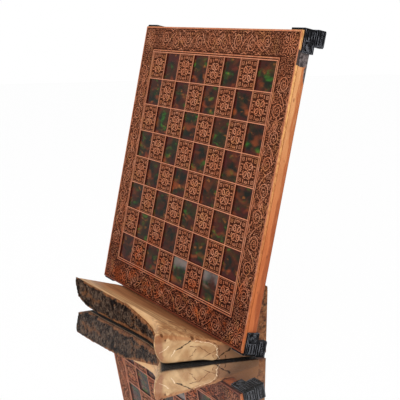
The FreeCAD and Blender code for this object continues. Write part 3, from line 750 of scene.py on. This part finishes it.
def enamel_material():
    """Dark glassy enamel with green, orange and wine-red clouds under a clear glaze, and a painted
    reflection on two tiles.
    """
    material, shader = new_material("Clouded dark enamel", rough=0.2, specular=0.04)
    place = placed("board_place")
    point = here_in_mm()
    vector = joined(place["Across"], place["Up"], 0.0)
    slanted = node("ShaderNodeMapping",
                   {"Vector": vector, "Rotation": (0.0, 0.0, -0.35), "Scale": (0.5, 1.0, 1.0)}).outputs[0]
    within = calc("FRACT", calc("DIVIDE", minus(place["Up"], BORDER), SQUARE))
    dark = patches(vector, 0.04, 0.4, 0.6, 4.0, 0.6, 0.4)
    shade = tint(dark, colour(58, 28, 18), colour(24, 26, 20))
    wine = patches(vector, 0.026, 0.52, 0.66, 3.0, 0.5)
    wine = larger(wine, fade(from_line(place), 0.2, 0.03))
    shade = wash(shade, colour(74, 26, 24), wine, 0.75)
    lower = minus(1.0, fade(within, 0.05, 0.75))
    ember = patches(slanted, 0.06, 0.5, 0.7, 1.5, 0.4, 0.3)
    ember = times(ember, plus(0.25, times(lower, 0.75)))
    shade = wash(shade, colour(138, 66, 32), ember, 0.95)
    moss = patches(slanted, 0.045, 0.44, 0.66, 1.5, 0.4, 0.4)
    shade = wash(shade, colour(36, 44, 22), moss, 0.5)
    bright = times(moss, patches(slanted, 0.085, 0.52, 0.74, 2.0, 0.5, 0.4))
    shade = wash(shade, colour(56, 120, 40), bright, 0.55)
    glint = patches(slanted, 0.09, 0.6, 0.8, 2.0, 0.5)
    shade = wash(shade, colour(176, 104, 46), glint, 0.6)
    # Painted reflection: a grey-white haze over the upper part of two tiles in the bottom row
    columns = []
    for column in REFLECTION_COLUMNS:
        left = column * SQUARE - FIELD / 2
        columns.append(times(calc("GREATER_THAN", place["Across"], left),
                             calc("LESS_THAN", place["Across"], left + SQUARE)))
    reflecting_tiles = times(plus(*columns), calc("LESS_THAN", place["Up"], BORDER + SQUARE))
    drift = cloud(slanted, 0.06, 3.0, 0.5, 0.4)
    painted_reflection = fade(plus(within, drift), 0.95, 1.5)
    shade = wash(shade, colour(158, 155, 150), times(reflecting_tiles, painted_reflection), 0.4)
    paint(shader, shade, plus(0.1, times(cloud(point, 0.2, 2.0), 0.14)))
    raise_surface(shader, cloud(point, 0.12, 2.0, 0.5), 0.12, 0.0006)
    return material


def foot_material():
    """Blackened casting, nearly black, with a little grey grit."""
    material, shader = new_material("Blackened casting", rough=0.45, specular=0.05)
    point = here_in_mm()
    shade = tint(patches(point, 0.14, 0.35, 0.7, 5.0, 0.65), colour(7, 7, 8), colour(19, 18, 21))
    grit = cloud(point, 1.4, 3.0, 0.7)
    shade = wash(shade, colour(38, 37, 41), fade(grit, 0.5, 0.75), 0.3)
    paint(shader, shade, plus(0.36, times(grit, 0.3)))
    raise_surface(shader, grit, 0.4, 0.0004)
    return material


def edge_highlight_and_wear_material():
    """Edges of the casting painted grey: a painted highlight, with the black worn to grey."""
    material, shader = new_material("Casting edge highlight and wear", rough=0.4, specular=0.2)
    patina = cloud(here_in_mm(), 0.11, 2.0, 0.5)
    paint(shader, tint(fade(patina, 0.36, 0.62), colour(46, 46, 50), colour(150, 152, 160)))
    feed(shader.inputs["Metallic"], times(fade(patina, 0.36, 0.7), 0.4))
    return material


# Where the pith of the base and of the back rest lies, and which way the sawn ends face
BASE_PITH = (0.0, 30.0, -34.0)
REST_PITH = (0.0, 62.0, 96.0)
SAWN_SIDE = (0.976, -0.219, 0.0)


def stand_wood(name, pith):
    """Olive wood with the grain along X: cream sapwood in front, orange-brown heartwood behind."""
    material, shader = new_material(name, rough=0.5, specular=0.14)
    point = here_in_mm()
    growth = growth_of(vector_calc("SUBTRACT", point, pith), 8.5, 3.0)
    part = parts_of(point)
    cream = tint(growth["Clouds"], colour(206, 150, 96), colour(236, 198, 148))
    heart = tint(growth["Clouds"], colour(142, 86, 52), colour(216, 156, 106))
    across = plus(part["Y"], times(minus(growth["Clouds"], 0.5), 60.0))
    rightward = times(fade(part["X"], -160.0, 150.0), 26.0)
    shade = tint(fade(minus(across, rightward), -86.0, -56.0), cream, heart)
    bands = patches(stretched(point, 0.006, 0.2, 0.2), 1.0, 0.44, 0.58, 5.0, 0.65, 0.3)
    shade = wash(shade, colour(112, 62, 34), bands, 0.5)
    shade = wash(shade, colour(98, 54, 30), growth["Lines"], 0.26)
    shade = wash(shade, colour(236, 206, 160), fade(growth["Fibre"], 0.5, 0.8), 0.25)
    raise_surface(shader, growth["Fibre"], 0.25, 0.0004)
    return material, shader, shade, point, growth


def back_rest_material():
    """Stand wood with brown mottling, dark stains and thin veins."""
    material, shader, shade, point, _ = stand_wood("Mottled olive wood", REST_PITH)
    shade = wash(shade, colour(128, 74, 50), patches(point, 0.06, 0.42, 0.66, 5.0, 0.65, 0.5), 0.8)
    shade = wash(shade, colour(58, 48, 50), patches(point, 0.1, 0.55, 0.68, 4.0), 0.7)
    vein = unsigned(minus(cloud(point, 0.07, 4.0, 0.6, 1.0), 0.5))
    paint(shader, wash(shade, colour(50, 36, 32), fade(vein, 0.03, 0.008), 0.85))
    return material


def base_material():
    """Stand wood, darker near the board as painted shade, with a painted shadow along the notch, sawn ends
    and painted shade on the underside.
    """
    material, shader, shade, point, growth = stand_wood("Olive wood stand", BASE_PITH)
    place = placed("board_place")
    # Painted shade on the base near and under the board, weaker towards the left end
    near_board = plus(place["Behind"], times(growth["Clouds"], 30.0))
    rightward = fade(parts_of(point)["X"], -150.0, 20.0)
    near_board = times(fade(near_board, -34.0, 10.0), plus(0.1, times(rightward, 0.5)))
    shade = tint(near_board, shade, colour(94, 50, 26))
    # Painted shadow: a dark line on the base just in front of the board's bottom edge
    painted_contact_shadow = times(fade(place["Behind"], -7.0, -1.5), fade(place["Up"], -6.0, 3.0))
    shade = wash(shade, colour(58, 30, 18), painted_contact_shadow, 0.75)
    shade = end_grain(shade, point, growth)
    # Painted shade: the underside is painted nearly black
    below = fade(parts_of(facing())["Z"], -0.5, -0.9)
    paint(shader, wash(shade, colour(12, 8, 6), below, 0.97))
    return material


# Cracks in the right end, by Y and Z, and marks on the top, by X and Y; each has a width and a colour
DARK_CRACK = colour(40, 23, 15)
BROWN_LINE = colour(110, 66, 42)
PALE_VEIN = colour(244, 218, 182)
TOP_STAIN = colour(88, 44, 20)
END_MARKS = [
    ([(-63.8, 39.8), (-78.8, 30.7), (-89.1, 26.9)], 1.0, DARK_CRACK),
    ([(-0.1, 19.6), (-10.7, 14.1), (-18.0, 8.2), (-24.4, 1.9)], 1.2, DARK_CRACK),
    ([(-19.8, 20.9), (-32.8, 15.7), (-44.1, 9.5)], 0.7, BROWN_LINE),
    ([(-65.3, 30.9), (-49.2, 29.1), (-41.8, 22.5), (-34.4, 15.9)], 0.6, BROWN_LINE),
    ([(-56.1, 25.7), (-61.1, 16.4), (-67.5, 12.1)], 0.5, BROWN_LINE),
    ([(-28.7, 13.6), (-24.5, 4.8)], 0.5, BROWN_LINE),
    ([(-8.2, 10.5), (-6.3, 0.0)], 0.5, DARK_CRACK),
    ([(-89.1, 26.9), (-96.2, 17.0)], 0.9, PALE_VEIN),
    ([(-99.5, 33.7), (-112.8, 24.6)], 0.8, PALE_VEIN),
    ([(-57.3, 38.3), (-48.6, 37.2), (-41.2, 34.9), (-32.0, 32.6), (-25.7, 29.1),
      (-21.8, 23.5), (-21.0, 17.6), (-22.2, 12.9), (-16.3, 4.7)], 0.5, PALE_VEIN),
    ([(-54.0, 40.5), (-38.0, 37.0), (-26.5, 33.0), (-19.5, 26.0),
      (-17.6, 19.0), (-18.5, 13.0)], 0.7, BROWN_LINE),
]
TOP_MARKS = [
    ([(90.6, -54.2), (109.7, -46.1)], 2.2, TOP_STAIN),
    ([(140.9, -52.7), (155.0, -59.0)], 0.9, TOP_STAIN),
]

# Knots of the base: middle, radius and stretch
BASE_KNOTS = [
    ((167.0, -108.8, 53.0), 2.6, (0.5, 1.0, 0.7)),
    ((168.0, -104.2, 44.6), 1.7, (0.4, 1.0, 1.0)),
    ((177.0, -60.7, 43.0), 2.8, (0.45, 1.0, 0.8)),
]


def marked(shade, vector, marks, share):
    """Adds each mark's line, drawn through its points, to the shade."""
    for line, width, hue in marks:
        for first, last in zip(line, line[1:]):
            ends = {"From": (*first, 0.0), "To": (*last, 0.0)}
            mark = placed("crack", {"Vector": vector, "Width": width, **ends})["Mask"]
            shade = wash(shade, hue, mark, share)
    return shade


def end_grain(shade, point, growth):
    """Paler sawn ends, browner above and behind an arc, with pale veins, knots and drying cracks."""
    sideways = unsigned(vector_calc("DOT_PRODUCT", facing(), SAWN_SIDE, "Value"))
    sawn = fade(sideways, 0.42, 0.8)
    part = parts_of(point)
    ragged = minus(cloud(point, 0.07, 4.0, 0.6, 0.8), 0.5)
    wavy = plus(part["Y"], times(ragged, 14.0))
    soft = patches(point, 0.028, 0.36, 0.64, 4.0, 0.55, 0.4)
    cut = tint(soft, colour(180, 134, 92), colour(222, 186, 140))
    cut = wash(cut, colour(134, 96, 70), fade(wavy, -25.0, -17.0), 0.85)
    above = plus(times(part["Y"], 0.214), minus(part["Z"], 24.0))
    above = fade(plus(above, times(ragged, 8.0)), -1.0, 2.5)
    cut = wash(cut, colour(178, 122, 80), above, 0.8)
    cut = wash(cut, colour(160, 108, 82), fade(wavy, -105.0, -111.0), 0.8)
    cut = wash(cut, colour(150, 104, 66), growth["Lines"], 0.16)
    shade = wash(shade, cut, sawn, 0.92)
    stained = times(fade(part["X"], 70.0, 125.0), fade(ragged, -0.06, 0.08))
    stained = times(stained, fade(part["Z"], 37.0, 44.0))
    shade = wash(shade, colour(140, 82, 44), stained, 0.6)
    right_end = times(fade(part["X"], 100.0, 130.0), sawn)
    end_on = joined(part["Y"], part["Z"], 0.0)
    shade = tint(right_end, shade, marked(shade, end_on, END_MARKS, 0.9))
    from_above = joined(part["X"], part["Y"], 0.0)
    top = fade(part["Z"], 30.0, 34.0)
    shade = tint(top, shade, marked(shade, from_above, TOP_MARKS, 0.85))
    for middle, radius, stretch in BASE_KNOTS:
        shade = wash(shade, colour(84, 46, 24), spot(point, middle, stretch, radius, 0.4), 0.85)
    return shade


def bark_material():
    """Rugged grey-brown bark: dark in its pits, its own darker crevices with painted shade; lighter on its
    crowns, pale bark with a painted highlight; warm brown along its rims.
    """
    material, shader = new_material("Rough bark", rough=0.85, specular=0.1)
    point = here_in_mm()
    coarse = cloud(stretched(point, 0.2, 0.14, 0.1), 1.0, 6.0, 0.72, 0.4)
    fine = cloud(stretched(point, 0.7, 0.6, 0.3), 1.0, 4.0, 0.7)
    shade = tint(fade(coarse, 0.42, 0.56), colour(28, 19, 15), colour(70, 50, 39))
    # The crowns are lighter: the bark's own paler grey with a painted highlight
    crown = times(fade(fine, 0.46, 0.6), fade(coarse, 0.44, 0.6))
    shade = wash(shade, colour(146, 125, 106), crown, 0.75)
    broad = cloud(stretched(point, 0.03, 0.03, 0.05), 1.0, 3.0, 0.6, 0.5)
    shade = wash(shade, colour(28, 19, 17), fade(broad, 0.5, 0.38), 0.5)
    shade = wash(shade, colour(128, 84, 54), fade(broad, 0.54, 0.64), 0.6)
    brown = tint(fade(coarse, 0.36, 0.64), colour(96, 56, 36), colour(150, 100, 64))
    shade = tint(attribute("rim"), shade, brown)
    # The pits are darkened: the bark's own darker crevices with painted shade
    shade = tint(fade(attribute("pit"), 0.25, 0.8), shade, colour(20, 14, 13))
    paint(shader, shade)
    raise_surface(shader, plus(coarse, fine), 0.8, 0.001)
    return material


def steel_material():
    material, shader = new_material("Screw steel", rough=0.35, metallic=1.0)
    grit = cloud(here_in_mm(), 1.2, 2.0)
    shade = tint(grit, colour(120, 118, 114), colour(172, 170, 166))
    paint(shader, shade, plus(0.25, times(grit, 0.25)))
    return material


def felt_material():
    material, shader = new_material("Black felt", rough=0.95, specular=0.1)
    fluff = cloud(here_in_mm(), 2.0, 4.0, 0.8)
    paint(shader, tint(fluff, colour(18, 18, 19), colour(44, 43, 42)))
    raise_surface(shader, fluff, 0.6, 0.0005)
    return material


# Forms made from the CAD solids, as finer copies that are worked over

SAME_POINT = 1e-6


def fine_copy(source_name, name, grain):
    """Copy of a CAD solid as an even mesh with faces about grain millimetres wide."""
    mesh = nodes[source_name].data.copy()
    work = bmesh.new()
    work.from_mesh(mesh)
    bmesh.ops.remove_doubles(work, verts=work.verts, dist=SAME_POINT)
    work.to_mesh(mesh)
    work.free()
    blank = bpy.data.objects.new(name + "_blank", mesh)
    scene.collection.objects.link(blank)
    finer = blank.modifiers.new("finer", "REMESH")
    finer.mode = "VOXEL"
    finer.voxel_size = grain * MM
    finer.use_smooth_shade = True
    fine = bpy.data.meshes.new_from_object(blank.evaluated_get(bpy.context.evaluated_depsgraph_get()))
    bpy.data.objects.remove(blank)
    fine.name = name
    fine.materials.clear()
    return fine


def rows_of(items, title, width, kind=float):
    """One property of a mesh's points or edges, as an array of rows."""
    flat = np.empty(len(items) * width, dtype=kind)
    items.foreach_get(title, flat)
    return flat.reshape(-1, width)


def points_of(mesh):
    return rows_of(mesh.vertices, "co", 3) / MM


def set_points(mesh, points):
    mesh.vertices.foreach_set("co", (points * MM).ravel())
    mesh.update()


def rubbed_down(mesh, points, share, rounds):
    """Draws each point towards the middle of its neighbours, by its own share, some rounds over."""
    edges = rows_of(mesh.edges, "vertices", 2, np.int64)
    count = np.bincount(edges.ravel(), minlength=len(points)).astype(float)[:, None]
    for _ in range(rounds):
        total = np.zeros_like(points)
        np.add.at(total, edges[:, 0], points[edges[:, 1]])
        np.add.at(total, edges[:, 1], points[edges[:, 0]])
        points = points + (total / count - points) * share[:, None]
    return points


def smooth_step(value, low, high):
    t = np.clip((value - low) / (high - low), 0, 1)
    return t * t * (3 - 2 * t)


BASE_GRAIN = 2.0
BASE_ROUNDS = 44
SEAT_GAP = 0.15
SEAT_REACH = 1.4


def worn_base(material):
    """Base with its sawn edges worn round, most of all at the right end, and its notch kept true."""
    mesh = fine_copy("stand_base", "live_edge_base", BASE_GRAIN)
    points = points_of(mesh)
    from_heel = points - np.array(HEEL) / MM
    up = from_heel @ np.array(UP_FACE)
    behind = from_heel @ np.array(INTO_BOARD)
    before_board = smooth_step(-behind, 6, 26)
    right_end = smooth_step(points[:, 0], 95, 165) * smooth_step(-points[:, 1], 0, 50)
    points = rubbed_down(mesh, points, (0.06 + 0.5 * right_end) * before_board, BASE_ROUNDS)
    seat = (np.abs(up) < SEAT_REACH) & (behind > -1.5) & (behind < NOTCH_DEPTH + 1)
    points[seat] -= (up[seat] + SEAT_GAP)[:, None] * np.array(UP_FACE)
    wall = (np.abs(behind - NOTCH_DEPTH) < SEAT_REACH) & (up > -1)
    points[wall] += (NOTCH_DEPTH + SEAT_GAP - behind[wall])[:, None] * np.array(INTO_BOARD)
    set_points(mesh, points)
    mesh.materials.append(material)
    add_piece(mesh, "live_edge_base", "stand", "stand_base")


BARK_GRAIN = 1.3
BARK_SEED = 7
RIM_STEP = 6.0

# Without a seed the noise's vectors would differ from run to run
noise.seed_set(BARK_SEED)


def bark_pit(point):
    """1 in the pits and cracks of the bark and 0 on its crowns; the point is in millimetres."""
    bent = point + noise.noise_vector(point * 0.09) * 5.0
    broad = Vector((bent.x * 0.18, bent.y * 0.15, bent.z * 0.08))
    close = Vector((bent.x * 0.4 + 7.0, bent.y * 0.3 + 3.0, bent.z * 0.2 + 1.0))
    ridges = 1.0 - abs(noise.noise(broad)) * 2.6
    cracks = 1.0 - abs(noise.noise(close)) * 3.0
    patchy = 0.5 + noise.noise(point * 0.05 + Vector((2.0, 9.0, 4.0)))
    return max(0.0, min(1.0, (0.65 * ridges + 0.5 * cracks) * patchy * 1.5 - 0.1))


def rim_share(points, top_band, low_band):
    """1 near the bark's upper and lower edges and 0 between them, from its heights along X."""
    steps = np.floor(points[:, 0] / RIM_STEP).astype(int)
    steps -= steps.min()
    top = np.full(steps.max() + 1, -np.inf)
    low = np.full(steps.max() + 1, np.inf)
    np.maximum.at(top, steps, points[:, 2])
    np.minimum.at(low, steps, points[:, 2])
    below_top = top[steps] - points[:, 2]
    above_low = points[:, 2] - low[steps]
    wander = np.array([noise.noise(Vector(p) * 0.08) for p in points]) * 6.0
    low_reach = low_band * (0.25 + 0.8 * smooth_step(points[:, 0], -140, 60))
    top_reach = top_band * (0.02 + smooth_step(points[:, 0], -130, 40))
    return np.maximum(1 - smooth_step(below_top + wander, top_reach * 0.5, top_reach + 1),
                      1 - smooth_step(above_low + wander, low_reach * 0.5, low_reach))


def roughened_bark(source_name, name, material, outward, depth, bands):
    """Copy of a bark skin with a finer mesh, sunk in its pits and cracks."""
    mesh = fine_copy(source_name, name, BARK_GRAIN)
    points = points_of(mesh)
    normals = rows_of(mesh.vertices, "normal", 3)
    rim = rim_share(points, *bands)
    pits = np.array([bark_pit(Vector(p)) for p in points]) * (1 - 0.7 * rim)
    crumbs = np.array([noise.fractal(Vector(p) * 0.22, 0.9, 2.1, 4) for p in points])
    open_side = np.clip((normals @ np.array(outward) + 0.1) * 1.6, 0, 1)
    sink = (depth * pits + 0.5 - 0.6 * crumbs * (1 - 0.5 * rim)) * open_side
    set_points(mesh, points - normals * np.maximum(sink, 0)[:, None])
    for title, values in (("pit", pits), ("rim", rim)):
        mesh.attributes.new(title, "FLOAT", "POINT").data.foreach_set("value", values.astype(np.float32))
    mesh.materials.append(material)
    add_piece(mesh, name, "stand", source_name)


# Width of the grey rim of painted highlight and wear along the casting's sharp edges
EDGE_HIGHLIGHT_RIM = 0.3
SHARP_EDGE = math.radians(35)
FLAT_JOINT = math.radians(1)


def ends_of(edge):
    """Where an edge begins and ends, to know it again after the faces are inset."""
    return frozenset(tuple(round(c, 7) for c in point.co) for point in edge.verts)


def foot_with_highlight_and_wear(corner, black, highlight_and_wear):
    """Casting whose sharp outer edges have a narrow grey rim on both sides: a painted highlight, with worn
    metal.
    """
    mesh = nodes["corner_foot_" + corner].data.copy()
    mesh.name = "cast_foot_" + corner
    mesh.materials.clear()
    mesh.materials.append(black)
    mesh.materials.append(highlight_and_wear)
    work = bmesh.new()
    work.from_mesh(mesh)
    for face in work.faces:
        face.material_index = 0
        face.smooth = False
    bmesh.ops.remove_doubles(work, verts=work.verts, dist=SAME_POINT)
    bmesh.ops.dissolve_limit(work, angle_limit=FLAT_JOINT, verts=work.verts, edges=work.edges)
    work.normal_update()
    sharp = set()
    for edge in work.edges:
        if len(edge.link_faces) == 2 and edge.is_convex and edge.calc_face_angle(0.0) > SHARP_EDGE:
            sharp.add(ends_of(edge))
    inset = bmesh.ops.inset_individual(work, faces=work.faces[:], thickness=EDGE_HIGHLIGHT_RIM * MM,
                                       use_even_offset=True)
    for face in inset["faces"]:
        if any(ends_of(edge) in sharp for edge in face.edges):
            face.material_index = 1
    work.to_mesh(mesh)
    work.free()
    add_piece(mesh, "cast_foot_" + corner, "board", "corner_foot_" + corner)


# Dressing

def dress(material, *names):
    for name in names:
        mesh = nodes[name].data
        mesh.materials.clear()
        mesh.materials.append(material)


def dress_everything():
    carved = carved_panel_material()
    dress(carved, "engraved_top_panel")
    dress(enamel_material(), *[n for n in nodes if n.startswith("enamel_tile_")])
    dress(rail_material(), *[n for n in nodes if n.startswith("frame_rail_")])
    dress(plain_wood_material(), "core_panel", "underside_panel", "mitre_splines")
    dress(steel_material(), "foot_screws", "stand_screws")
    dress(back_rest_material(), "back_rest")
    dress(felt_material(), "stand_pads")
    # The feet's sharp edges get a painted highlight with wear
    black, highlight_and_wear = foot_material(), edge_highlight_and_wear_material()
    for corner in ("top_right", "top_left", "bottom_left", "bottom_right"):
        foot_with_highlight_and_wear(corner, black, highlight_and_wear)
    worn_base(base_material())
    bark = bark_material()
    roughened_bark("base_bark", "live_edge_bark", bark, (0.0, -1.0, 0.0), 3.6, (7.0, 9.0))
    roughened_bark("back_rest_bark", "crest_bark", bark, (0.0, 0.3, 0.95), 3.0, (0.1, 3.0))
    carve_light_squares(carved)
    carve_border(carved)


# Stage, light and camera; lengths here are in metres, and powers in watts

WHITE = (1.0, 1.0, 1.0, 1.0)
FLOOR_WHITE = (0.97, 0.97, 0.97, 1.0)
FLOOR_HALF = 6.0
FLOOR_MIRROR = 0.975
LIGHT_ON_OBJECT = 0.5
LIGHT_SEEN = 1.0
LAMP_AIM = Vector((0.0, 0.0, 0.25))
LAMPS = (("key", (1.5, -1.1, 1.5), 1.2, 32.0), ("fill", (-1.2, -1.6, 1.0), 1.4, 14.0))

# Where the camera stands, from the line of the board's bottom edge, and its turn in degrees
CAMERA_PLACE = Vector((1.33634, -0.7288, 0.52983))
CAMERA_TURN = (78.8242, -0.627, 59.1868)
SENSOR_WIDTH = 36.0
LENS = 81.2556


def pale_floor():
    mesh = bpy.data.meshes.new("floor")
    corners = [(FLOOR_HALF * x, FLOOR_HALF * y, 0) for x, y in ((-1, -1), (1, -1), (1, 1), (-1, 1))]
    mesh.from_pydata(corners, [], [(0, 1, 2, 3)])
    floor = bpy.data.objects.new("floor", mesh)
    scene.collection.objects.link(floor)
    material = bpy.data.materials.new("Polished white floor")
    material.use_nodes = True
    begin(material.node_tree)
    matt = node("ShaderNodeBsdfDiffuse", {"Color": FLOOR_WHITE})
    gloss = node("ShaderNodeBsdfAnisotropic", {"Color": WHITE, "Roughness": 0.01})
    both = node("ShaderNodeMixShader", {0: FLOOR_MIRROR, 1: matt.outputs[0], 2: gloss.outputs[0]})
    node("ShaderNodeOutputMaterial", {"Surface": both.outputs[0]})
    mesh.materials.append(material)


def soft_world():
    """White where the camera or a reflection sees it, a softer level where it lights the object."""
    world = bpy.data.worlds.new("studio")
    scene.world = world
    world.use_nodes = True
    begin(world.node_tree)
    ray = node("ShaderNodeLightPath").outputs
    seen = larger(ray["Is Camera Ray"], larger(ray["Is Glossy Ray"], ray["Is Transmission Ray"]))
    strength = between(seen, LIGHT_ON_OBJECT, LIGHT_SEEN)
    light = node("ShaderNodeBackground", {"Color": WHITE, "Strength": strength})
    node("ShaderNodeOutputWorld", {"Surface": light.outputs[0]})


def soft_lamp(name, place, size, power):
    lamp = bpy.data.lights.new(name, "AREA")
    lamp.shape = "SQUARE"
    lamp.size = size
    lamp.energy = power
    made = bpy.data.objects.new(name, lamp)
    made.location = place
    made.rotation_euler = (LAMP_AIM - Vector(place)).to_track_quat("-Z", "Y").to_euler()
    made.visible_glossy = False
    scene.collection.objects.link(made)


def place_camera():
    camera = bpy.data.cameras.new("camera")
    camera.sensor_width = SENSOR_WIDTH
    camera.lens = LENS
    camera.clip_end = 50.0
    made = bpy.data.objects.new("camera", camera)
    made.location = CAMERA_PLACE + Vector((0.0, HEEL.y, 0.0))
    made.rotation_euler = [math.radians(angle) for angle in CAMERA_TURN]
    scene.collection.objects.link(made)
    scene.camera = made


scene.view_settings.view_transform = "Standard"
dress_everything()
pale_floor()
soft_world()
for lamp in LAMPS:
    soft_lamp(*lamp)
place_camera()
